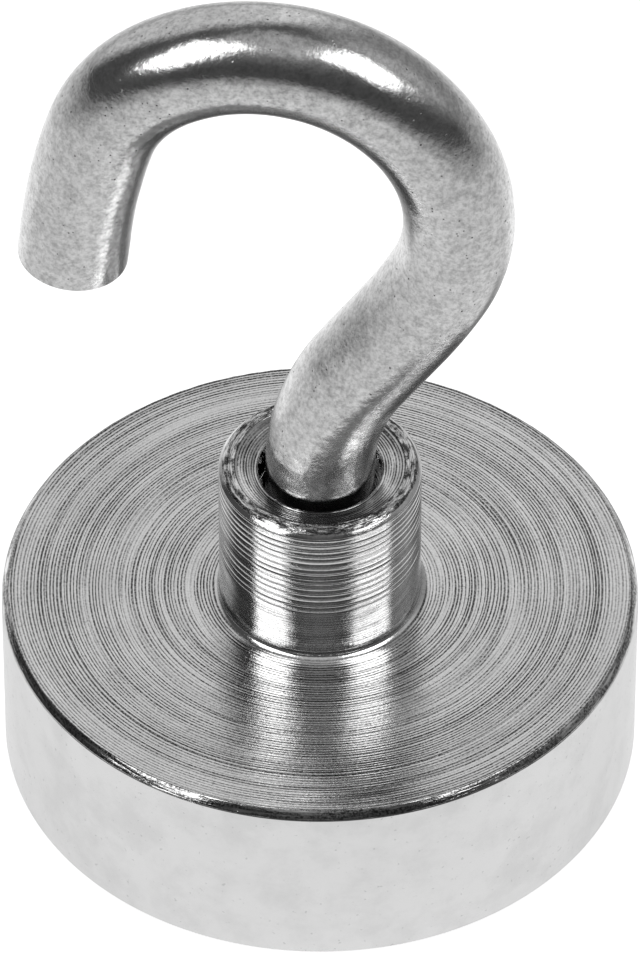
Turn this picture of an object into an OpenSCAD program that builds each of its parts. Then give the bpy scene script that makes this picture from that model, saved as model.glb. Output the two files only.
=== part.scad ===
// Pot magnet with a screw-in open hook.
// Origin: centre of the magnet face. +Z: up the shank. The hook lies in the XZ plane.

/* [Pot] */
// Outer diameter of the pot
pot_d = 25; // [18:0.5:36]
// Height from the magnet face to the pot's top face
pot_h = 7.9; // [6:0.1:11]
// Thickness of the pot's floor, above the magnet pocket
web_t = 3; // [2.4:0.1:4.5]
// Thickness of the pot's wall, round the magnet pocket
wall_t = 1.6; // [1:0.1:2.6]
// Chamfer on the outer edge of the top face
top_chamfer = 0.3; // [0.1:0.05:0.6]
// Chamfer on the outer edge of the magnet face
rim_chamfer = 0.3; // [0.1:0.05:0.6]

/* [Boss] */
// Height of the boss above the pot's top face
boss_h = 6.7; // [4.5:0.1:10]
// Thickness of the boss's wall, round its bore
boss_wall = 1.53; // [1:0.01:3]
// Chamfer on the outer edge of the boss
boss_chamfer = 0.25; // [0.1:0.05:0.5]
// Fillet where the boss meets the top face
boss_fillet = 0.3; // [0.1:0.05:0.8]
// Depth of the shallow turned step in the boss's end face
step_depth = 0.12; // [0.05:0.01:0.3]
// Width of that step, outwards from the bore
step_w = 0.9; // [0.4:0.05:1.3]

/* [Magnet] */
// Radial width of the resin ring between magnet and wall
ring_w = 0.9; // [0.4:0.05:1.5]
// Depth that the resin lies below the magnet face
resin_sink = 0.15; // [0.05:0.05:0.5]
// Thickness of the adhesive behind the magnet
glue_t = 0.1; // [0.05:0.01:0.3]
// Chamfer on the edges of the magnet
magnet_chamfer = 0.25; // [0.1:0.05:0.5]

/* [Hook] */
// Diameter of the wire
wire_d = 4.25; // [3:0.05:6]
// Radius of the bend that leans the shank over
lean_r = 10; // [8:0.1:16]
// Angle that the shank leans over by
lean_deg = 33; // [20:1:40]
// Straight run after the lean
lean_run = 2.9; // [1:0.1:6]
// Radius of the slow bend that starts the bowl
back_r = 21.6; // [12:0.1:40]
// Angle of that slow bend
back_deg = 7.4; // [4:0.1:12]
// Radius of the bowl's outer bend
bowl_r = 7.6; // [5.5:0.1:12]
// Angle of the bowl's outer bend
bowl_deg = 78; // [60:1:90]
// Radius of the bend over the crown
crown_r = 7.1; // [5.5:0.1:12]
// Angle of the bend over the crown
crown_deg = 67.5; // [55:0.5:80]
// Radius of the bend that turns the nose down
nose_r = 6.1; // [5:0.1:10]
// Angle of the bend that turns the nose down
nose_deg = 43.3; // [30:0.1:55]
// Radius of the slow bend of the open leg
leg_r = 28; // [16:0.5:50]
// Angle of the slow bend of the open leg
leg_deg = 10.6; // [6:0.1:18]
// Straight end of the leg, with its rounding
leg_end = 1.3; // [1:0.1:5]
// Radius of the rounding at the tip
tip_r = 0.9; // [0.3:0.05:1.3]

/* [Thread] */
// Pitch of the thread
thread_pitch = 0.8; // [0.5:0.05:1.25]
// Depth of the thread on the shank
thread_h = 0.45; // [0.3:0.01:0.7]
// Radial gap between the wire and the mouth of the bore
mouth_gap = 0.3; // [0.15:0.01:0.6]
// Depth of the plain mouth above the first thread
mouth_depth = 1.2; // [0.6:0.1:2.5]
// Radial running clearance of the thread in the bore and on the shank's core
thread_clear = 0.05; // [0.02:0.01:0.1]
// Gap between the end of the plain wire and the first thread
seat_gap = 0.1; // [0.05:0.05:0.3]
// Plain end of the shank below the thread
shank_end = 0.4; // [0.2:0.1:1]
// Room left under the shank when it is screwed right in
end_room = 0.24; // [0.1:0.02:1]
// Metal left under the drill point
floor_t = 0.9; // [0.5:0.1:2]

/* [Hidden] */
$fn = 96;
eps = 0.01;
over = 1;
seam_step = 0.01;
seam_lap = 0.04;

// pot and magnet
pocket_d = pot_d - 2 * wall_t;
pocket_h = pot_h - web_t;
magnet_d = pocket_d - 2 * ring_w;
magnet_h = pocket_h - glue_t;

// boss and bore
bore_d = wire_d + 2 * mouth_gap;
boss_d = bore_d + 2 * boss_wall;
boss_top = pot_h + boss_h;
drill_angle = 118;
drill_point = bore_d / 2 / tan(drill_angle / 2);
bore_depth = boss_h + web_t - floor_t - drill_point;

// thread, a whole number of quarter turns long
thread_room = bore_depth - mouth_depth - seat_gap - shank_end - end_room;
thread_turns = floor(4 * thread_room / thread_pitch + eps) / 4;
thread_len = thread_turns * thread_pitch;
crest_d = bore_d - 2 * thread_clear;
core_d = crest_d - 2 * thread_h - 2 * thread_clear;
sleeve_d = core_d + 2 * thread_clear;

// heights along the shank
wire_z = boss_top - mouth_depth;
thread_top = wire_z - seat_gap;
thread_bottom = thread_top - thread_len;
shank_z = thread_bottom - shank_end;

// Half of a turned shape: a square corner at [r, z], cut back by a chamfer
module chamfered(r, h, chamfer) {
    polygon([[0, 0], [r, 0], [r, h - chamfer], [r - chamfer, h], [0, h]]);
}

module pot_outline() {
    polygon([
        [0, 0],
        [pot_d / 2 - rim_chamfer, 0],
        [pot_d / 2, rim_chamfer],
        [pot_d / 2, pot_h - top_chamfer],
        [pot_d / 2 - top_chamfer, pot_h],
        [0, pot_h]
    ]);
}

// The fillet's corner, on the boss's wall and the pot's top face
module fillet_outline() {
    difference() {
        translate([boss_d / 2 - eps, pot_h - eps])
            square(boss_fillet + eps);
        translate([boss_d / 2 + boss_fillet, pot_h + boss_fillet])
            circle(r = boss_fillet);
    }
}

module steel_pot() {
    color("silver")
    difference() {
        rotate_extrude() {
            pot_outline();
            chamfered(boss_d / 2, boss_top, boss_chamfer);
            fillet_outline();
        }
        // magnet pocket
        translate([0, 0, -over])
            cylinder(d = pocket_d, h = pocket_h + over);
        // bore with its drill point
        translate([0, 0, boss_top - bore_depth])
            cylinder(d = bore_d, h = bore_depth + over);
        translate([0, 0, boss_top - bore_depth - drill_point])
            cylinder(d1 = 0, d2 = bore_d, h = drill_point);
        // turned step in the end face
        translate([0, 0, boss_top - step_depth])
            cylinder(d = bore_d + 2 * step_w, h = step_depth + over);
    }
}

module magnet_disc() {
    c = magnet_chamfer;
    color("gainsboro")
    rotate_extrude()
        polygon([
            [0, 0],
            [magnet_d / 2 - c, 0],
            [magnet_d / 2, c],
            [magnet_d / 2, magnet_h - c],
            [magnet_d / 2 - c, magnet_h],
            [0, magnet_h]
        ]);
}

module adhesive_film() {
    color("wheat")
    translate([0, 0, magnet_h])
        cylinder(d = magnet_d, h = glue_t);
}

module resin_ring() {
    color("dimgray")
    translate([0, 0, resin_sink])
    difference() {
        cylinder(d = pocket_d, h = pocket_h - resin_sink);
        translate([0, 0, -over])
            cylinder(d = magnet_d, h = pocket_h + 2 * over);
    }
}

// The wire is drawn in stretches, and every second one is thick: a hair over the thin ones'
// diameter and lapping into both neighbours, so that each pair meets in a clean step.
module stretch_circle(thick) {
    circle(d = thick ? wire_d : wire_d - 2 * seam_step);
}

// A straight run of wire along +Z. What follows it starts at its far end.
module run(length) {
    translate([0, 0, -seam_lap])
        linear_extrude(length + 2 * seam_lap)
            stretch_circle(true);
    translate([0, 0, length])
        children();
}

// A bend of the wire, towards +X if side is 1 and towards -X if it is -1.
// What follows it starts at its far end, heading the new way.
module bend(radius, angle, side, thick = false) {
    lap = thick ? asin(seam_lap / radius) : 0;
    translate([side * radius, 0, 0])
        rotate([90, 0, side > 0 ? 180 : 0])
            rotate([0, 0, -lap])
                rotate_extrude(angle = angle + 2 * lap)
                    translate([radius, 0])
                        stretch_circle(thick);
    translate([side * radius * (1 - cos(angle)), 0, radius * sin(angle)])
        rotate([0, side * angle, 0])
            children();
}

// The last stretch of wire, with its edge rounded
module tip(length) {
    rotate_extrude() {
        translate([0, -seam_lap])
            square([wire_d / 2, length - tip_r + seam_lap]);
        square([wire_d / 2 - tip_r, length]);
        translate([wire_d / 2 - tip_r, length - tip_r])
            circle(r = tip_r);
    }
}

module shank_core() {
    lead = (wire_d - core_d) / 2;
    translate([0, 0, shank_z])
        cylinder(d1 = core_d - 2 * lead, d2 = core_d, h = lead);
    translate([0, 0, shank_z + lead])
        cylinder(d = core_d, h = wire_z - shank_z - lead);
}

module hook() {
    color("silver") {
        shank_core();
        translate([0, 0, wire_z])
            run(mouth_depth)
            bend(lean_r, lean_deg, 1)
            run(lean_run)
            bend(back_r, back_deg, -1)
            bend(bowl_r, bowl_deg, -1, thick = true)
            bend(crown_r, crown_deg, -1)
            bend(nose_r, nose_deg, -1, thick = true)
            bend(leg_r, leg_deg, -1)
            tip(leg_end);
    }
}

// The rolled thread as a plain sleeve of its crest diameter, round the shank's core
module shank_thread() {
    color("darkgray")
    translate([0, 0, thread_bottom])
    difference() {
        cylinder(d = crest_d, h = thread_len);
        translate([0, 0, -over])
            cylinder(d = sleeve_d, h = thread_len + 2 * over);
    }
}

steel_pot();
magnet_disc();
adhesive_film();
resin_ring();
hook();
shank_thread();
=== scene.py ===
import bmesh
import bpy
import math
import random
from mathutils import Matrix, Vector


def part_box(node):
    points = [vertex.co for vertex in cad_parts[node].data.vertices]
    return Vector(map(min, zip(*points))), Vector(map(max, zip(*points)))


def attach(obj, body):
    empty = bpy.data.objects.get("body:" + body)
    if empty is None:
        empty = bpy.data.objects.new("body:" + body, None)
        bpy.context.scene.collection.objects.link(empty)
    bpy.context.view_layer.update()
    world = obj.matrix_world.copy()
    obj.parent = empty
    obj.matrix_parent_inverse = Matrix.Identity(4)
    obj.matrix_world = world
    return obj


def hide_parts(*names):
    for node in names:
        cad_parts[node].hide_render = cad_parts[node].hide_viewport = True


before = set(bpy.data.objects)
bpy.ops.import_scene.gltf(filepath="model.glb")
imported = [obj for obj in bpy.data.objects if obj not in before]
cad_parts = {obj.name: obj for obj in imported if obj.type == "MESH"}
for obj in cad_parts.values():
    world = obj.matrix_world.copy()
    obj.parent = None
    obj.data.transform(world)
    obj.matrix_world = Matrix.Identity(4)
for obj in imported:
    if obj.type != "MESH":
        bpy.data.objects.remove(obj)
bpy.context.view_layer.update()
mm = 0.001
print("stage: frame loaded,", len(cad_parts), "nodes")


class Value:
    # wraps a socket, so that sums on it add Math nodes
    def __init__(self, maker, socket):
        self.maker = maker
        self.socket = socket

    def math(self, operation, *others):
        values = (self,) + others
        inputs = {i: v for i, v in enumerate(values)}
        return self.maker.node("ShaderNodeMath", {"operation": operation}, inputs)

    def __add__(self, other):
        return self.math("ADD", other)

    __radd__ = __add__

    def __sub__(self, other):
        return self.math("SUBTRACT", other)

    def __rsub__(self, other):
        return self.maker.node("ShaderNodeMath", {"operation": "SUBTRACT"}, {0: other, 1: self})

    def __mul__(self, other):
        return self.math("MULTIPLY", other)

    __rmul__ = __mul__

    def __truediv__(self, other):
        return self.math("DIVIDE", other)

    def __mod__(self, other):
        return self.math("FLOORED_MODULO", other)

    def __pow__(self, other):
        return self.math("POWER", other)

    def __lt__(self, other):
        return self.math("LESS_THAN", other)

    def __gt__(self, other):
        return self.math("GREATER_THAN", other)

    def clamped(self, low=0.0, high=1.0):
        return self.math("MAXIMUM", low).math("MINIMUM", high)


class Maker:
    # adds nodes to one tree; out picks the output to hand back, and None hands back the node
    def __init__(self, tree):
        self.tree = tree

    def node(self, kind, settings=None, inputs=None, out=0):
        made = self.tree.nodes.new(kind)
        for name, setting in (settings or {}).items():
            setattr(made, name, setting)
        for key, value in (inputs or {}).items():
            socket = made.inputs[key]
            if isinstance(value, Value):
                self.tree.links.new(value.socket, socket)
            else:
                socket.default_value = value
        return made if out is None else Value(self, made.outputs[out])

    def noise(self, vector, scale, detail=2.0, roughness=0.5, w=None):
        settings = {"noise_dimensions": "3D" if w is None else "4D"}
        inputs = {"Vector": vector, "Scale": scale, "Detail": detail, "Roughness": roughness}
        if w is not None:
            inputs["W"] = w
        return self.node("ShaderNodeTexNoise", settings, inputs)

    def band(self, value, low, high):
        # 0 below low, 1 above high, smooth between
        inputs = {"Value": value, "From Min": low, "From Max": high}
        return self.node("ShaderNodeMapRange", {"interpolation_type": "SMOOTHSTEP"}, inputs)

    def vector(self, x, y, z):
        return self.node("ShaderNodeCombineXYZ", None, {0: x, 1: y, 2: z})

    def parts(self, vector):
        made = self.node("ShaderNodeSeparateXYZ", None, {0: vector}, out=None)
        return [Value(self, made.outputs[i]) for i in range(3)]

    def mixColour(self, factor, one, other):
        settings = {"data_type": "RGBA"}
        made = self.node("ShaderNodeMix", settings, {0: factor, 6: one, 7: other}, out=None)
        return Value(self, made.outputs[2])


def newMaterial(name):
    material = bpy.data.materials.new(name)
    material.use_nodes = True
    material.node_tree.nodes.clear()
    return material, Maker(material.node_tree)


def finishMaterial(maker, constants, varying, bumps):
    # bumps is a list of (height value, distance in metres, strength), the coarsest first
    shader = maker.node("ShaderNodeBsdfPrincipled", None, constants, out=None)
    for name, value in varying.items():
        maker.tree.links.new(value.socket, shader.inputs[name])
    normal = None
    for height, distance, strength in bumps:
        inputs = {"Height": height, "Distance": distance, "Strength": strength}
        if normal is not None:
            inputs["Normal"] = normal
        normal = maker.node("ShaderNodeBump", None, inputs)
    if normal is not None:
        maker.tree.links.new(normal.socket, shader.inputs["Normal"])
    maker.node("ShaderNodeOutputMaterial", None, {"Surface": Value(maker, shader.outputs[0])}, out=None)


def objectPoint(maker):
    # the point on the piece, in millimetres
    place = maker.node("ShaderNodeTexCoord", None, None, out="Object")
    return maker.node("ShaderNodeMapping", None, {"Vector": place, "Scale": (1000, 1000, 1000)})


turnedLook = {
    "colour": (0.83, 0.83, 0.83, 1),
    "worn": (0.60, 0.60, 0.60, 1),
    # painted shade: the dark colour painted into the marks, the torn land and edge and the end face, mixed
    # with grit
    "shadeAndGrit": (0.06, 0.06, 0.06, 1),
    "leastRoughness": 0.0,
    "markScale": 13.0,      # uneven marks, per mm
    "markDepth": 0.0060,    # mm
    "feed": 0.128,          # mm between the even marks
    "smooth": 12.42,        # beyond this radius, in mm, the wall has no marks
    # radii and lowest heights, in mm, of the rough land, the torn edge and the end face's painted shade
    "land": (3.34, 3.80),
    "landAbove": 14.5,
    "edge": (12.16, 12.47),
    "edgeAbove": 7.4,
    "endFaceShadeAbove": 14.25,
    # the boss's side, with its fainter marks
    "sideRadius": 4.0,
    "sideBelow": 14.3,
    "sideFade": 0.65,
}


def turnedNickel():
    look = turnedLook
    material, maker = newMaterial("turned nickel plate")
    point = objectPoint(maker)
    x, y, z = maker.parts(point)
    radius = (x * x + y * y) ** 0.5
    turnX = x / radius
    turnY = y / radius
    plain = maker.band(radius, look["smooth"] - 0.06, look["smooth"])
    # marks run round the axis, and fade in and out along their way
    line = maker.vector(radius, z, turnX * 0.006)
    marks = maker.noise(line, look["markScale"], 2.0, 0.6, turnY * 0.006 * look["markScale"])
    broad = maker.noise(maker.vector(radius, z, turnX * 0.5), 1.6, 2.0, 0.5, turnY * 0.8)
    mottle = maker.noise(point, 0.5, 5.0, 0.62)
    grain = maker.noise(point, 16.0, 2.0, 0.6)
    specks = maker.band(maker.noise(point, 5.5, 1.0, 0.4), 0.70, 0.78)
    dirt = (maker.band(mottle, 0.40, 0.70) * 0.34 + specks * 0.6).clamped()
    # even marks, one for every step of the tool's feed
    drift = maker.noise(line, 1.6, 1.0, 0.5, turnY * 0.3) * 1.6
    feed = (((radius + z) / look["feed"] + drift) * (2 * math.pi)).math("SINE")
    # the end face's land and the top face's outer edge are torn, in streaks
    inner, outer = look["land"]
    land = maker.band(radius, inner - 0.03, inner) * (1 - maker.band(radius, outer, outer + 0.05))
    land = land * (z > look["landAbove"])
    inner, outer = look["edge"]
    edge = maker.band(radius, inner, inner + 0.04) * (1 - maker.band(radius, outer - 0.03, outer))
    edge = edge * (z > look["edgeAbove"])
    torn = maker.noise(maker.vector(radius, z, turnX * 0.9), 7.0, 3.0, 0.6, turnY * 0.9)
    # the boss's side has its own cut rings, and only faint marks beside them
    side = (radius < look["sideRadius"]) * (z < look["sideBelow"]) * look["sideFade"]
    cut = (1 - plain) * (1 - land) * (1 - side) * (1 - edge)
    # the marks are painted dark, more so where the broad pattern says: painted shade in the grooves,
    # standing in for their dark reflections
    deep = feed * 0.16 + (1 - marks)
    shadeAndGrit = maker.band(deep, 0.44, 0.61) * (maker.band(broad, 0.30, 0.62) * 0.7 + 0.45) * cut
    # the torn land and edge are painted dark in streaks: partly their own rough texture, partly painted
    # shade
    shadeAndGrit = shadeAndGrit + land * maker.band(torn, 0.40, 0.56) * 0.9
    shadeAndGrit = shadeAndGrit + edge * maker.band(torn, 0.36, 0.50) * 0.85
    # painted shade: the end face is darkened in patches between its marks, standing in for dark reflections
    endFaceShade = (z > look["endFaceShadeAbove"]) * maker.band(broad + torn * 0.4, 0.62, 0.78) * 0.3
    # and the marks are gritty
    grit = maker.band(maker.noise(point, 11.0, 3.0, 0.7), 0.40, 0.62)
    shadeAndGrit = (shadeAndGrit * (0.55 + grit * 0.6) + grit * cut * 0.12 + endFaceShade).clamped()
    colour = maker.mixColour(dirt, look["colour"], look["worn"])
    colour = maker.mixColour(shadeAndGrit, colour, look["shadeAndGrit"])
    rough = mottle * 0.05 + grain * 0.05 + broad * 0.08 + look["leastRoughness"] + specks * 0.15
    finishMaterial(
        maker,
        {"Metallic": 1.0},
        {"Base Color": colour, "Roughness": rough},
        [
            (mottle, 0.02 * mm, 0.5),
            ((marks - feed * 0.16) * cut, look["markDepth"] * mm, 1.0),
            (torn * (land + edge * 0.25), 0.06 * mm, 1.0),
            (grain + specks * -2.0 + grit * cut, 0.0009 * mm, 1.0),
        ],
    )
    return material


wireLook = {
    "colour": (0.78, 0.78, 0.78, 1),
    "pitColour": (0.15, 0.15, 0.15, 1),
    "leastRoughness": 0.02,
    "dentScale": 1.1,     # per mm
    "grainScale": 6.0,    # per mm
}


def wireNickel():
    look = wireLook
    material, maker = newMaterial("tumbled nickel plate")
    point = objectPoint(maker)
    dents = maker.noise(point, look["dentScale"], 3.0, 0.55)
    grain = maker.noise(point, look["grainScale"], 3.0, 0.65)
    cloud = maker.noise(point, 2.6, 4.0, 0.65)
    fine = maker.noise(point, 22.0, 2.0, 0.6)
    pitCells = maker.node(
        "ShaderNodeTexVoronoi",
        {"feature": "F1"},
        {"Vector": point, "Scale": 3.6, "Randomness": 1.0},
    )
    chosen = maker.band(maker.noise(point, 1.7, 1.0, 0.5), 0.50, 0.64)
    pits = (1 - maker.band(pitCells, 0.07, 0.20)) * chosen
    dirt = maker.band(grain, 0.36, 0.72) * 0.36 + maker.band(cloud, 0.35, 0.68) * 0.24 + pits * 0.8
    colour = maker.mixColour(dirt.clamped(), look["colour"], look["pitColour"])
    rough = dents * 0.06 + grain * 0.14 + cloud * 0.10 + look["leastRoughness"] + pits * 0.2
    finishMaterial(
        maker,
        {"Metallic": 1.0},
        {"Base Color": colour, "Roughness": rough},
        [
            (dents, 0.05 * mm, 0.5),
            (grain - pits * 1.5, 0.007 * mm, 0.7),
            (fine, 0.0022 * mm, 0.8),
        ],
    )
    return material


magnetLook = {"colour": (0.72, 0.72, 0.72, 1), "dull": (0.56, 0.56, 0.56, 1), "leastRoughness": 0.12}


def magnetNickel():
    look = magnetLook
    material, maker = newMaterial("magnet nickel plate")
    point = objectPoint(maker)
    cloud = maker.noise(point, 0.5, 4.0, 0.6)
    grain = maker.noise(point, 12.0, 2.0, 0.6)
    colour = maker.mixColour(cloud * 0.4, look["colour"], look["dull"])
    finishMaterial(
        maker,
        {"Metallic": 1.0},
        {"Base Color": colour, "Roughness": cloud * 0.1 + grain * 0.08 + look["leastRoughness"]},
        [(cloud, 0.03 * mm, 0.5), (grain, 0.002 * mm, 0.6)],
    )
    return material


resinLook = {"colour": (0.025, 0.025, 0.028, 1), "pale": (0.06, 0.058, 0.055, 1), "leastRoughness": 0.3}


def pottingResin():
    look = resinLook
    material, maker = newMaterial("potting resin")
    point = objectPoint(maker)
    cloud = maker.noise(point, 1.3, 4.0, 0.6)
    grain = maker.noise(point, 18.0, 2.0, 0.6)
    colour = maker.mixColour(cloud, look["colour"], look["pale"])
    finishMaterial(
        maker,
        {"IOR": 1.5},
        {"Base Color": colour, "Roughness": cloud * 0.2 + grain * 0.1 + look["leastRoughness"]},
        [(cloud, 0.05 * mm, 0.6), (grain, 0.004 * mm, 0.5)],
    )
    return material


adhesiveLook = {"colour": (0.50, 0.43, 0.28, 1), "pale": (0.66, 0.58, 0.40, 1), "leastRoughness": 0.35}


def curedAdhesive():
    look = adhesiveLook
    material, maker = newMaterial("cured adhesive")
    point = objectPoint(maker)
    cloud = maker.noise(point, 1.0, 3.0, 0.6)
    colour = maker.mixColour(cloud, look["colour"], look["pale"])
    finishMaterial(
        maker,
        {"IOR": 1.52},
        {"Base Color": colour, "Roughness": cloud * 0.2 + look["leastRoughness"]},
        [(cloud, 0.03 * mm, 0.5)],
    )
    return material


potSteel = turnedNickel()
wireSteel = wireNickel()
magnetSteel = magnetNickel()
resin = pottingResin()
adhesive = curedAdhesive()
print("stage: materials made")


def newInput(tree, name, kind, default=None):
    socket = tree.interface.new_socket(name, in_out="INPUT", socket_type=kind)
    if default is not None:
        socket.default_value = default
    return socket.identifier


def turningTree():
    # turns an outline, whose points become rings, about Z
    tree = bpy.data.node_groups.new("turn an outline", "GeometryNodeTree")
    ids = {
        "Outline": newInput(tree, "Outline", "NodeSocketGeometry"),
        "Spokes": newInput(tree, "Spokes", "NodeSocketInt", 200),
        "Thread Pitch": newInput(tree, "Thread Pitch", "NodeSocketFloat", 0.8 * mm),
        "Thread Depth": newInput(tree, "Thread Depth", "NodeSocketFloat", 0.0),
        "Thread Start": newInput(tree, "Thread Start", "NodeSocketFloat", 0.0),
        "Wobble Scale": newInput(tree, "Wobble Scale", "NodeSocketFloat", 2200.0),
        "Finish": newInput(tree, "Finish", "NodeSocketMaterial"),
    }
    tree.interface.new_socket("Geometry", in_out="OUTPUT", socket_type="NodeSocketGeometry")
    maker = Maker(tree)
    start = maker.node("NodeGroupInput", None, None, out=None)
    given = {name: Value(maker, start.outputs[i]) for i, name in enumerate(ids)}
    outline = given["Outline"]
    rings = maker.node("GeometryNodeAttributeDomainSize", {"component": "MESH"}, {0: outline})
    across = given["Spokes"] + 1
    grid = maker.node("GeometryNodeMeshGrid", None, {"Vertices X": rings, "Vertices Y": across})
    index = maker.node("GeometryNodeInputIndex")
    ring = (index / across).math("FLOOR")
    spoke = index - ring * across

    def fromOutline(name):
        held = maker.node("GeometryNodeInputNamedAttribute", {"data_type": "FLOAT"}, {"Name": name})
        settings = {"data_type": "FLOAT", "domain": "POINT"}
        inputs = {"Geometry": outline, "Value": held, "Index": ring}
        return maker.node("GeometryNodeSampleIndex", settings, inputs)

    settings = {"data_type": "FLOAT_VECTOR", "domain": "POINT"}
    inputs = {"Geometry": outline, "Value": maker.node("GeometryNodeInputPosition"), "Index": ring}
    reach, _, height = maker.parts(maker.node("GeometryNodeSampleIndex", settings, inputs))
    turn = spoke / given["Spokes"]
    angle = turn * (2 * math.pi)
    alongX = angle.math("COSINE")
    alongY = angle.math("SINE")
    # a ridge that climbs one pitch a turn: 1 on its crest and 0 in the groove
    phase = (height / given["Thread Pitch"] - turn + given["Thread Start"]) % 1.0
    ridge = maker.band(1 - (phase * 2 - 1).math("ABSOLUTE"), 0.12, 0.88)
    reach = reach + ridge * fromOutline("thread") * given["Thread Depth"]
    # uneven edges: burrs and dents where the outline asks for them
    onRing = maker.vector(reach * alongX, reach * alongY, height)
    uneven = maker.noise(onRing, given["Wobble Scale"], 2.0, 0.6) - 0.5
    push = uneven * fromOutline("wobble")
    reach = reach + push
    place = maker.vector(reach * alongX, reach * alongY, height + push)
    moved = maker.node("GeometryNodeSetPosition", None, {"Geometry": grid, "Position": place})
    closed = maker.node("GeometryNodeMergeByDistance", None, {"Geometry": moved, "Distance": 0.0005 * mm})
    smooth = maker.node("GeometryNodeSetShadeSmooth", None, {"Geometry": closed})
    real = maker.node("GeometryNodeRealizeInstances", None, {"Geometry": smooth})
    done = maker.node("GeometryNodeSetMaterial", None, {"Geometry": real, "Material": given["Finish"]})
    maker.node("NodeGroupOutput", None, {0: done}, out=None)
    return tree, ids


def sweepingTree():
    # sweeps a round wire along a path and rounds its far end
    tree = bpy.data.node_groups.new("sweep a wire", "GeometryNodeTree")
    ids = {
        "Path": newInput(tree, "Path", "NodeSocketGeometry"),
        "Wire Radius": newInput(tree, "Wire Radius", "NodeSocketFloat", 2.125 * mm),
        "Tip Rounding": newInput(tree, "Tip Rounding", "NodeSocketFloat", 0.9 * mm),
        "Around": newInput(tree, "Around", "NodeSocketInt", 96),
        "Dent Scale": newInput(tree, "Dent Scale", "NodeSocketFloat", 500.0),
        "Dent Depth": newInput(tree, "Dent Depth", "NodeSocketFloat", 0.02 * mm),
        "Finish": newInput(tree, "Finish", "NodeSocketMaterial"),
    }
    tree.interface.new_socket("Geometry", in_out="OUTPUT", socket_type="NodeSocketGeometry")
    maker = Maker(tree)
    start = maker.node("NodeGroupInput", None, None, out=None)
    given = {name: Value(maker, start.outputs[i]) for i, name in enumerate(ids)}
    curve = maker.node("GeometryNodeMeshToCurve", None, {0: given["Path"]})
    length = maker.node("GeometryNodeCurveLength", None, {0: curve})
    gone = maker.node("GeometryNodeSplineParameter", None, None, out="Length")
    # how far into the rounding a ring is: 0 before it, 1 at the tip
    left = ((length - gone) / given["Tip Rounding"]).clamped()
    inward = 1 - (1 - (1 - left) ** 2.0).math("MAXIMUM", 0.0) ** 0.5
    radius = 1 - inward * given["Tip Rounding"] / given["Wire Radius"]
    sized = maker.node("GeometryNodeSetCurveRadius", None, {"Curve": curve, "Radius": radius})
    inputs = {"Resolution": given["Around"], "Radius": given["Wire Radius"]}
    circle = maker.node("GeometryNodeCurvePrimitiveCircle", None, inputs)
    inputs = {"Curve": sized, "Profile Curve": circle, "Fill Caps": True}
    swept = maker.node("GeometryNodeCurveToMesh", None, inputs)
    place = maker.node("GeometryNodeInputPosition")
    away = maker.node("GeometryNodeInputNormal")
    push = (maker.noise(place, given["Dent Scale"], 3.0, 0.5) - 0.55) * given["Dent Depth"]
    shift = maker.node("ShaderNodeVectorMath", {"operation": "SCALE"}, {0: away, "Scale": push})
    dented = maker.node("GeometryNodeSetPosition", None, {"Geometry": swept, "Offset": shift})
    smooth = maker.node("GeometryNodeSetShadeSmooth", None, {"Geometry": dented})
    real = maker.node("GeometryNodeRealizeInstances", None, {"Geometry": smooth})
    done = maker.node("GeometryNodeSetMaterial", None, {"Geometry": real, "Material": given["Finish"]})
    maker.node("NodeGroupOutput", None, {0: done}, out=None)
    return tree, ids


turning, turningIds = turningTree()
sweeping, sweepingIds = sweepingTree()
sharpDegrees = 30   # an edge that turns by more than this is drawn sharp


def growPiece(name, line, attributes, tree, ids, settings, material):
    # line is a list of (x, y, z) in mm; the tree turns it into the piece, which then becomes plain mesh
    seed = bpy.data.meshes.new(name + " line")
    points = [Vector(p) * mm for p in line]
    seed.from_pydata(points, [(i, i + 1) for i in range(len(points) - 1)], [])
    for key, values in attributes.items():
        held = seed.attributes.new(key, "FLOAT", "POINT")
        held.data.foreach_set("value", values)
    grower = bpy.data.objects.new(name + " grower", seed)
    bpy.context.scene.collection.objects.link(grower)
    modifier = grower.modifiers.new("grow", "NODES")
    modifier.node_group = tree
    for key, value in settings.items():
        modifier[ids[key]] = value
    modifier[ids["Finish"]] = material
    grown = grower.evaluated_get(bpy.context.evaluated_depsgraph_get())
    mesh = bpy.data.meshes.new_from_object(grown)
    grower.modifiers.remove(modifier)
    bpy.data.objects.remove(grower)
    bpy.data.meshes.remove(seed)
    mesh.name = name
    shape = bmesh.new()
    shape.from_mesh(mesh)
    bmesh.ops.remove_doubles(shape, verts=shape.verts, dist=0.0002 * mm)
    bmesh.ops.recalc_face_normals(shape, faces=shape.faces)
    if shape.calc_volume(signed=True) < 0:
        bmesh.ops.reverse_faces(shape, faces=shape.faces)
    for edge in shape.edges:
        edge.smooth = edge.is_manifold and edge.calc_face_angle(0) < math.radians(sharpDegrees)
    openEdges = sum(1 for edge in shape.edges if not edge.is_manifold)
    shape.to_mesh(mesh)
    shape.free()
    for layer in [a.name for a in mesh.attributes if a.name in attributes]:
        mesh.attributes.remove(mesh.attributes[layer])
    piece = bpy.data.objects.new(name, mesh)
    bpy.context.scene.collection.objects.link(piece)
    triangles = sum(len(p.vertices) - 2 for p in mesh.polygons)
    print("stage:", name, triangles, "triangles,", openEdges, "open edges")
    return piece


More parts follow.
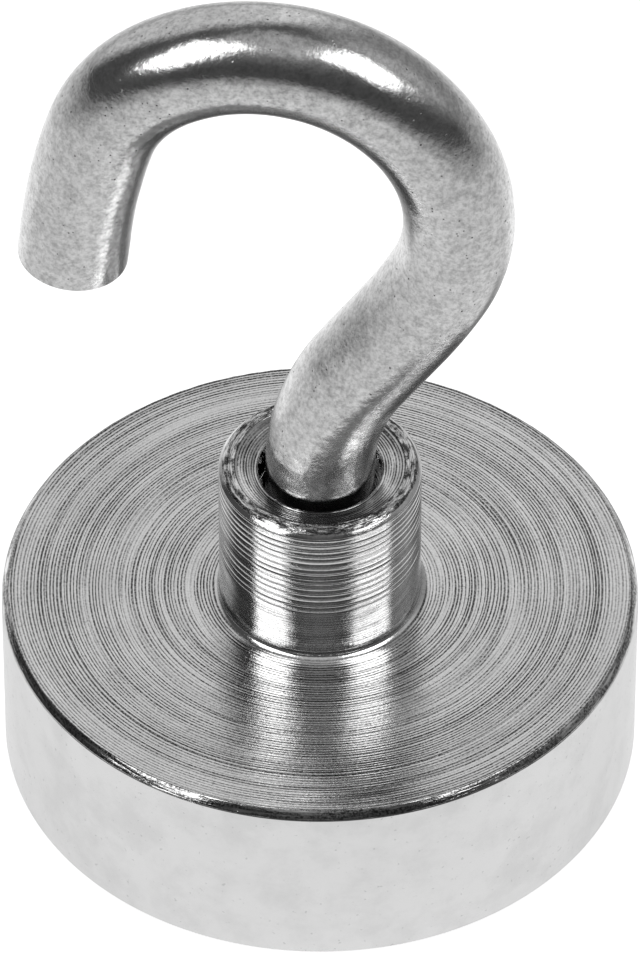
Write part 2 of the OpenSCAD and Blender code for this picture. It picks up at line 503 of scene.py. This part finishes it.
class Outline:
    # rings of a turned piece, in mm, from one pole to the other
    def __init__(self):
        self.points = []
        self.thread = []    # share of the thread's depth
        self.wobble = []    # how uneven the ring is

    def to(self, radius, height, thread=0.0, wobble=0.0):
        self.points.append((radius, 0.0, height))
        self.thread.append(thread)
        self.wobble.append(wobble * mm)

    def arc(self, centre, radius, fromDeg, toDeg, steps, wobble=0.0):
        for step in range(steps + 1):
            angle = math.radians(fromDeg + (toDeg - fromDeg) * step / steps)
            self.to(centre[0] + radius * math.cos(angle), centre[1] + radius * math.sin(angle), 0.0, wobble)

    def grow(self, name, spokes, material, **thread):
        settings = {"Spokes": spokes}
        settings.update({key.replace("_", " "): value for key, value in thread.items()})
        attributes = {"thread": self.thread, "wobble": self.wobble}
        return growPiece(name, self.points, attributes, turning, turningIds, settings, material)


def toolMarks(length, pitch, depth, chance):
    # (distance, depth) along a turned face: each mark is a groove that the tool left
    marks = []
    at = 0.0
    while at < length:
        width = pitch * chance.uniform(0.8, 1.2)
        deep = depth * chance.choice((0.5, 0.7, 0.9, 1.0, 1.1, 1.4))
        marks.append((at, chance.uniform(0.0, 0.25) * deep))
        marks.append((at + width * 0.38, deep))
        marks.append((at + width * 0.72, deep * 0.8))
        at += width
    return [m for m in marks if m[0] < length]


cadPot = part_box("steel_pot")
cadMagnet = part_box("magnet_disc")
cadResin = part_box("resin_ring")
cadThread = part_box("shank_thread")
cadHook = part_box("hook")

potSizes = {
    "radius": cadPot[1].x / mm,
    "top": 7.9,
    "bossTop": cadPot[1].z / mm,
    "bossRadius": 3.955,
    "pocketRadius": cadResin[1].x / mm,
    "pocketTop": cadResin[1].z / mm,
    "chamfer": 0.3,
    "bossChamfer": 0.27,
    "fillet": 0.3,
    "stepWidth": 0.9,
    "stepDepth": 0.12,
    "boreRadius": 2.425,
    "mouthDepth": 1.3,
    "boreDepth": 7.343,
    "drillPoint": 1.457,
    "threadDepth": 0.30,
    "threadRing": 0.8 / 11,     # between the rings that make up the thread
    "markPitch": 0.115,
    "markDepth": 0.006,
    "plainShare": 0.34,         # of the boss's side, below its rings
    "ringPitch": 0.30,
    "ringDepth": 0.022,
    # one ring's groove, each (share of the pitch, share of the depth)
    "ringShape": ((0.0, 0.0), (0.5, 0.0), (0.62, 0.25), (0.74, 1.0), (0.84, 0.6), (0.94, 0.0)),
    "spokes": 200,
}


def pocketAndRim(line, size):
    pocket = size["pocketRadius"]
    radius = size["radius"]
    cut = size["chamfer"]
    line.to(0, size["pocketTop"])
    line.to(pocket, size["pocketTop"])
    line.to(pocket, 0.25)
    line.to(pocket + 0.04, 0.05)
    line.to(pocket + 0.1, 0)
    line.to((pocket + radius) / 2, 0)
    line.to(radius - cut - 0.05, 0)
    line.arc((radius - cut, 0.08), 0.08, -80, -45, 2)
    line.arc((radius - 0.12, cut), 0.12, -40, 0, 3)


def sideWall(line, size):
    # with the faint rings of its own turning, up to the burred edge of the top face
    radius = size["radius"]
    top = size["top"]
    cut = size["chamfer"]
    height = top - cut - 0.12 - cut
    for step in range(1, 18):
        line.to(radius - 0.0012 * (step % 2), cut + height * step / 18)
    line.arc((radius - 0.08, top - cut - 0.03), 0.07, 0, 40, 3, 0.03)
    line.to(radius - 0.17, top - 0.14, 0.0, 0.05)
    line.arc((radius - cut, top - 0.06), 0.06, 50, 88, 3, 0.05)


def topFace(line, size, chance):
    # turned from the rim in to the boss's fillet
    top = size["top"]
    fillet = size["fillet"]
    boss = size["bossRadius"]
    start = size["radius"] - size["chamfer"] - 0.02
    reach = start - (boss + fillet + 0.1)
    for along, deep in toolMarks(reach, size["markPitch"], size["markDepth"], chance):
        line.to(start - along, top - deep, 0.0, 0.002)
    line.to(boss + fillet + 0.08, top - 0.012)
    line.arc((boss + fillet, top + fillet), fillet, 270, 180, 6)


def bossSide(line, size, chance):
    # plain below, ringed above
    top = size["top"]
    bossTop = size["bossTop"]
    fillet = size["fillet"]
    boss = size["bossRadius"]
    cut = size["bossChamfer"]
    bare = (bossTop - top) * size["plainShare"]
    for step in range(1, 8):
        line.to(boss - 0.004 * (step % 2), top + fillet + (bare - fillet) * step / 7)
    at = top + bare
    while at < bossTop - 0.55:
        pitch = size["ringPitch"] * chance.uniform(0.85, 1.2)
        deep = size["ringDepth"] * chance.uniform(0.6, 1.5)
        for share, part in size["ringShape"]:
            line.to(boss - deep * part, at + pitch * share, 0.0, 0.004)
        at += pitch
    line.to(boss - 0.006, bossTop - 0.36)
    line.arc((boss - 0.05, bossTop - cut), 0.05, 0, 40, 3, 0.01)
    line.arc((boss - cut, bossTop - 0.05), 0.05, 50, 90, 3, 0.02)


def endFace(line, size, chance):
    # rough land, then a dished ring down to a burr at the mouth
    bossTop = size["bossTop"]
    bore = size["boreRadius"]
    edge = size["bossRadius"] - size["bossChamfer"]
    step = bore + size["stepWidth"]
    dish = 2 * size["stepDepth"]
    for along in range(1, 8):
        line.to(edge + (step + 0.05 - edge) * along / 8, bossTop - 0.014 * (along % 2), 0.0, 0.03)
    line.to(step + 0.02, bossTop - 0.004, 0.0, 0.02)
    line.to(step - 0.02, bossTop - 0.035, 0.0, 0.01)
    wide = size["stepWidth"] - 0.10
    for along, deep in toolMarks(wide, 0.13, 0.006, chance):
        line.to(step - 0.04 - along, bossTop - 0.045 - (dish - 0.045) * along / wide - deep, 0.0, 0.003)
    low = bossTop - dish
    line.to(bore + 0.05, low + 0.005, 0.0, 0.02)
    line.to(bore + 0.03, low + 0.035, 0.0, 0.05)
    line.to(bore + 0.005, low + 0.02, 0.0, 0.04)
    line.to(bore, low - 0.05, 0.0, 0.01)
    line.to(bore, low - 0.4)


def threadedBore(line, size):
    # plain mouth, thread that fades in and out, and drill point
    bore = size["boreRadius"]
    ring = size["threadRing"]
    mouth = size["bossTop"] - size["mouthDepth"]
    floor = size["bossTop"] - size["boreDepth"]
    count = int((mouth - floor - 0.2) / ring)
    for step in range(count + 1):
        fade = min(1.0, step / 8, (count - step) / 8)
        line.to(bore, mouth - ring * step, -fade)
    line.to(bore, floor)
    line.to(0, floor - size["drillPoint"])


def makePot():
    size = potSizes
    chance = random.Random(11)
    line = Outline()
    pocketAndRim(line, size)
    sideWall(line, size)
    topFace(line, size, chance)
    bossSide(line, size, chance)
    endFace(line, size, chance)
    threadedBore(line, size)
    piece = line.grow("pot", size["spokes"], potSteel, Thread_Depth=size["threadDepth"] * mm)
    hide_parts("steel_pot")
    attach(piece, "pot")


makePot()

magnetSizes = {
    "radius": cadMagnet[1].x / mm,
    "height": cadMagnet[1].z / mm,
    "edge": 0.25,
    "markPitch": 0.3,
    "markDepth": 0.002,
    "spokes": 160,
}


def makeMagnet():
    size = magnetSizes
    chance = random.Random(5)
    radius = size["radius"]
    height = size["height"]
    edge = size["edge"]
    line = Outline()
    line.to(0, 0)
    for along, deep in toolMarks(radius - edge, size["markPitch"], size["markDepth"], chance):
        line.to(0.2 + along * (radius - edge - 0.3) / (radius - edge), deep)
    line.arc((radius - edge, edge), edge, -88, 0, 6)
    line.arc((radius - edge, height - edge), edge, 0, 90, 6)
    line.to(0, height)
    piece = line.grow("magnetDisc", size["spokes"], magnetSteel)
    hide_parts("magnet_disc")
    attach(piece, "pot")


makeMagnet()

resinSizes = {
    "inner": cadMagnet[1].x / mm,
    "outer": cadResin[1].x / mm,
    "low": cadResin[0].z / mm,
    "top": cadResin[1].z / mm,
    "sag": 0.1,
    "spokes": 160,
}


def makeResin():
    # a ring: its outline is a loop, so the last point meets the first
    size = resinSizes
    inner = size["inner"]
    outer = size["outer"]
    low = size["low"]
    top = size["top"]
    line = Outline()
    line.to(inner, top)
    line.to(inner, low + 0.1)
    for step in range(13):
        share = step / 12
        sag = size["sag"] * (1 - (2 * share - 1) ** 2)
        line.to(inner + (outer - inner) * share, low + sag, 0.0, 0.05)
    line.to(outer, low + 0.1)
    line.to(outer, top)
    line.to(inner, top)
    piece = line.grow("resinRing", size["spokes"], resin)
    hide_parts("resin_ring")
    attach(piece, "pot")


makeResin()

# the glue line is seen only where the pieces are taken apart, so its own mesh does
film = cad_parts["adhesive_film"]
for slot in film.material_slots:
    slot.material = adhesive

hookSizes = {
    "wireRadius": 2.125,
    "wireStart": 13.4,
    "rise": 1.2,
    "leanRadius": 10,
    "leanDeg": 33,
    "leanRun": 2.9,
    # the bowl's bends, each (radius, degrees)
    "bends": ((21.6, 7.4), (7.6, 78), (7.1, 67.5), (6.1, 43.3), (28, 10.6)),
    "end": 1.3,
    "tipRounding": 0.9,
    "tipRings": 12,
    "spacing": 0.11,
    "around": 96,
    "dentScale": 420.0,     # per metre
    "dentDepth": 0.035,
}


def hookPath(size):
    # the centre line in the XZ plane, as (x, 0, z) in mm
    place = Vector((0, 0, size["wireStart"]))
    heading = math.pi / 2
    path = [place.copy()]

    def straight(length):
        nonlocal place
        steps = max(1, round(length / size["spacing"]))
        way = Vector((math.cos(heading), 0, math.sin(heading)))
        for step in range(1, steps + 1):
            path.append(place + way * (length * step / steps))
        place = path[-1].copy()

    def bend(radius, degrees, side):
        # side is 1 to the left of the heading and -1 to the right
        nonlocal place, heading
        left = Vector((-math.sin(heading), 0, math.cos(heading))) * side
        centre = place + left * radius
        turn = math.radians(degrees)
        steps = max(2, round(radius * turn / size["spacing"]))
        for step in range(1, steps + 1):
            angle = heading + side * (turn * step / steps - math.pi / 2)
            path.append(centre + Vector((math.cos(angle), 0, math.sin(angle))) * radius)
        place = path[-1].copy()
        heading += side * turn

    straight(size["rise"])
    bend(size["leanRadius"], size["leanDeg"], -1)
    straight(size["leanRun"])
    for radius, degrees in size["bends"]:
        bend(radius, degrees, 1)
    straight(size["end"] - size["tipRounding"])
    # finer rings through the rounding, spaced by its quarter circle
    way = Vector((math.cos(heading), 0, math.sin(heading)))
    rings = size["tipRings"]
    for step in range(1, rings + 1):
        path.append(place + way * (size["tipRounding"] * math.sin(math.pi / 2 * step / rings)))
    return path


def makeHook():
    size = hookSizes
    settings = {
        "Wire Radius": size["wireRadius"] * mm,
        "Tip Rounding": size["tipRounding"] * mm,
        "Around": size["around"],
        "Dent Scale": size["dentScale"],
        "Dent Depth": size["dentDepth"] * mm,
    }
    piece = growPiece("hookWire", hookPath(size), {}, sweeping, sweepingIds, settings, wireSteel)
    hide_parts("hook")
    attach(piece, "hook")


makeHook()

threadSizes = {
    "core": 1.875,
    "crest": cadThread[1].x / mm,
    "top": cadThread[1].z / mm,
    "bottom": cadThread[0].z / mm,
    "end": cadHook[0].z / mm,
    "pitch": 0.8,
    "ringsPerTurn": 14,
    "lead": 0.25,
    "spokes": 96,
}


def makeThread():
    size = threadSizes
    core = size["core"]
    ring = size["pitch"] / size["ringsPerTurn"]
    line = Outline()
    line.to(0, size["top"] + 0.6)
    line.to(core, size["top"] + 0.55)
    line.to(core, size["top"] + 0.05)
    count = round((size["top"] - size["bottom"]) / ring)
    for step in range(count + 1):
        fade = min(1.0, step / 8, (count - step) / 10)
        line.to(core, size["top"] - ring * step, fade)
    line.to(core, size["end"] + size["lead"])
    line.to(core - size["lead"] * 0.9, size["end"] + 0.02)
    line.to(core - size["lead"] - 0.05, size["end"])
    line.to(0, size["end"])
    depth = (size["crest"] - core) * mm
    piece = line.grow("shankThread", size["spokes"], wireSteel, Thread_Depth=depth, Thread_Start=0.5)
    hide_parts("shank_thread")
    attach(piece, "hook")


makeThread()

view = {
    "azimuth": 6.9,
    "elevation": 44.8,
    "distance": 406.3,
    "lens": 395.1,
    "target": (0.0, 0.0, 13.9),
}


def wayTo(azimuth, elevation):
    # a direction from the object; azimuth 0 is the camera's side, and it grows to the right
    a = math.radians(view["azimuth"] + azimuth)
    e = math.radians(elevation)
    return Vector((math.sin(a) * math.cos(e), -math.cos(a) * math.cos(e), math.sin(e)))


def makeCamera():
    data = bpy.data.cameras.new("camera")
    data.lens = view["lens"]
    data.sensor_width = 36
    data.clip_start = 0.01
    data.clip_end = 10
    camera = bpy.data.objects.new("camera", data)
    bpy.context.scene.collection.objects.link(camera)
    back = wayTo(0, view["elevation"])
    camera.location = Vector(view["target"]) * mm + back * view["distance"] * mm
    camera.rotation_mode = "QUATERNION"
    camera.rotation_quaternion = (-back).to_track_quat("-Z", "Y")
    bpy.context.scene.camera = camera


# the floor: what the camera sees of it, and how it glows for the metal to reflect
floorLook = {
    "half": 8.0,        # metres
    "colour": (0.45, 0.45, 0.45, 1),
    "seen": 0.9,
    "wideGlow": 0.40,
    "nearGlow": 0.12,
    "farGlow": 0.24,
    "backGlow": 0.34,
}


def makeFloor():
    size = floorLook
    half = size["half"]
    mesh = bpy.data.meshes.new("floor")
    corners = [(-half, -half, 0), (half, -half, 0), (half, half, 0), (-half, half, 0)]
    mesh.from_pydata(corners, [], [(0, 1, 2, 3)])
    floor = bpy.data.objects.new("floor", mesh)
    bpy.context.scene.collection.objects.link(floor)
    material, maker = newMaterial("pale floor")
    place = maker.node("ShaderNodeTexCoord", None, None, out="Object")
    x, y, _ = maker.parts(place)
    away = -wayTo(0, 0)
    out = (x * x + y * y) ** 0.5
    back = x * away.x + y * away.y
    # the floor glows near the object and behind it, and falls off towards the camera
    wide = (1 - maker.band(out, 0.05, 0.25)) * size["wideGlow"]
    near = (1 - maker.band(out, 0.012, 0.05)) * size["nearGlow"]
    far = maker.band(back, -0.05, 0.2) * size["farGlow"]
    lit = maker.band(back, 0.008, 0.020) * (1 - maker.band(out, 0.03, 0.09)) * size["backGlow"]
    # but it is dim right behind the object, where neither softbox reaches
    shaded = maker.band(back, 0.004, 0.010) * (1 - maker.band(out, 0.019, 0.034))
    glow = (wide + near + far + lit) * (1 - shaded)
    sight = maker.node("ShaderNodeLightPath", None, None, out="Is Camera Ray")
    shown = sight * size["seen"] + (1 - sight) * glow
    constants = {
        "Base Color": size["colour"],
        "Roughness": 0.9,
        "Specular IOR Level": 0.0,
        "Emission Strength": 1.0,
    }
    finishMaterial(maker, constants, {"Emission Color": shown}, [])
    mesh.materials.append(material)


# softboxes: where the middle is, how many degrees wide and high, and how bright
softboxes = {
    "leftBox": {"azimuth": -57, "elevation": 45, "wide": 29, "high": 35, "bright": 3.0},
    "rightBox": {"azimuth": 61, "elevation": 50, "wide": 33, "high": 30, "bright": 2.5},
}
boxDistance = 0.8   # metres


def makeSoftbox(name, box):
    distance = boxDistance
    width = 2 * distance * math.tan(math.radians(box["wide"] / 2))
    height = 2 * distance * math.tan(math.radians(box["high"] / 2))
    data = bpy.data.lights.new(name, "AREA")
    data.shape = "RECTANGLE"
    data.size = width
    data.size_y = height
    data.energy = box["bright"] * math.pi * width * height
    lamp = bpy.data.objects.new(name, data)
    bpy.context.scene.collection.objects.link(lamp)
    way = wayTo(box["azimuth"], box["elevation"])
    lamp.location = Vector(view["target"]) * mm + way * distance
    lamp.rotation_mode = "QUATERNION"
    lamp.rotation_quaternion = way.to_track_quat("Z", "Y")
    lamp.visible_camera = False


# soft patches of the room, brightest where they overlap: (azimuth, elevation, inner deg, outer deg, value)
room = {
    "fill": 0.07,
    "patches": (
        (-160, 25, 28, 46, 0.58),
        (135, 19, 29, 53, 0.22),
        (0, 76, 14, 32, 0.36),
        (90, 42, 12, 36, 0.18),
        (0, 50, 6, 24, 0.10),
    ),
}


def makeWorld():
    world = bpy.data.worlds.new("studio")
    world.use_nodes = True
    world.node_tree.nodes.clear()
    maker = Maker(world.node_tree)
    x, y, z = maker.parts(maker.node("ShaderNodeTexCoord", None, None, out="Generated"))
    shade = None
    for azimuth, elevation, inner, outer, value in room["patches"]:
        way = wayTo(azimuth, elevation)
        near = x * way.x + y * way.y + z * way.z
        part = maker.band(near, math.cos(math.radians(outer)), math.cos(math.radians(inner))) * value
        shade = part + room["fill"] if shade is None else shade + part
    sight = maker.node("ShaderNodeLightPath", None, None, out="Is Camera Ray")
    shown = sight + (1 - sight) * shade
    light = maker.node("ShaderNodeBackground", None, {"Color": shown, "Strength": 1.0})
    maker.node("ShaderNodeOutputWorld", None, {"Surface": light}, out=None)
    bpy.context.scene.world = world


makeCamera()
makeFloor()
makeWorld()
for boxName, box in softboxes.items():
    makeSoftbox(boxName, box)
bpy.context.scene.view_settings.view_transform = "Standard"
print("stage: camera, floor and lights made")
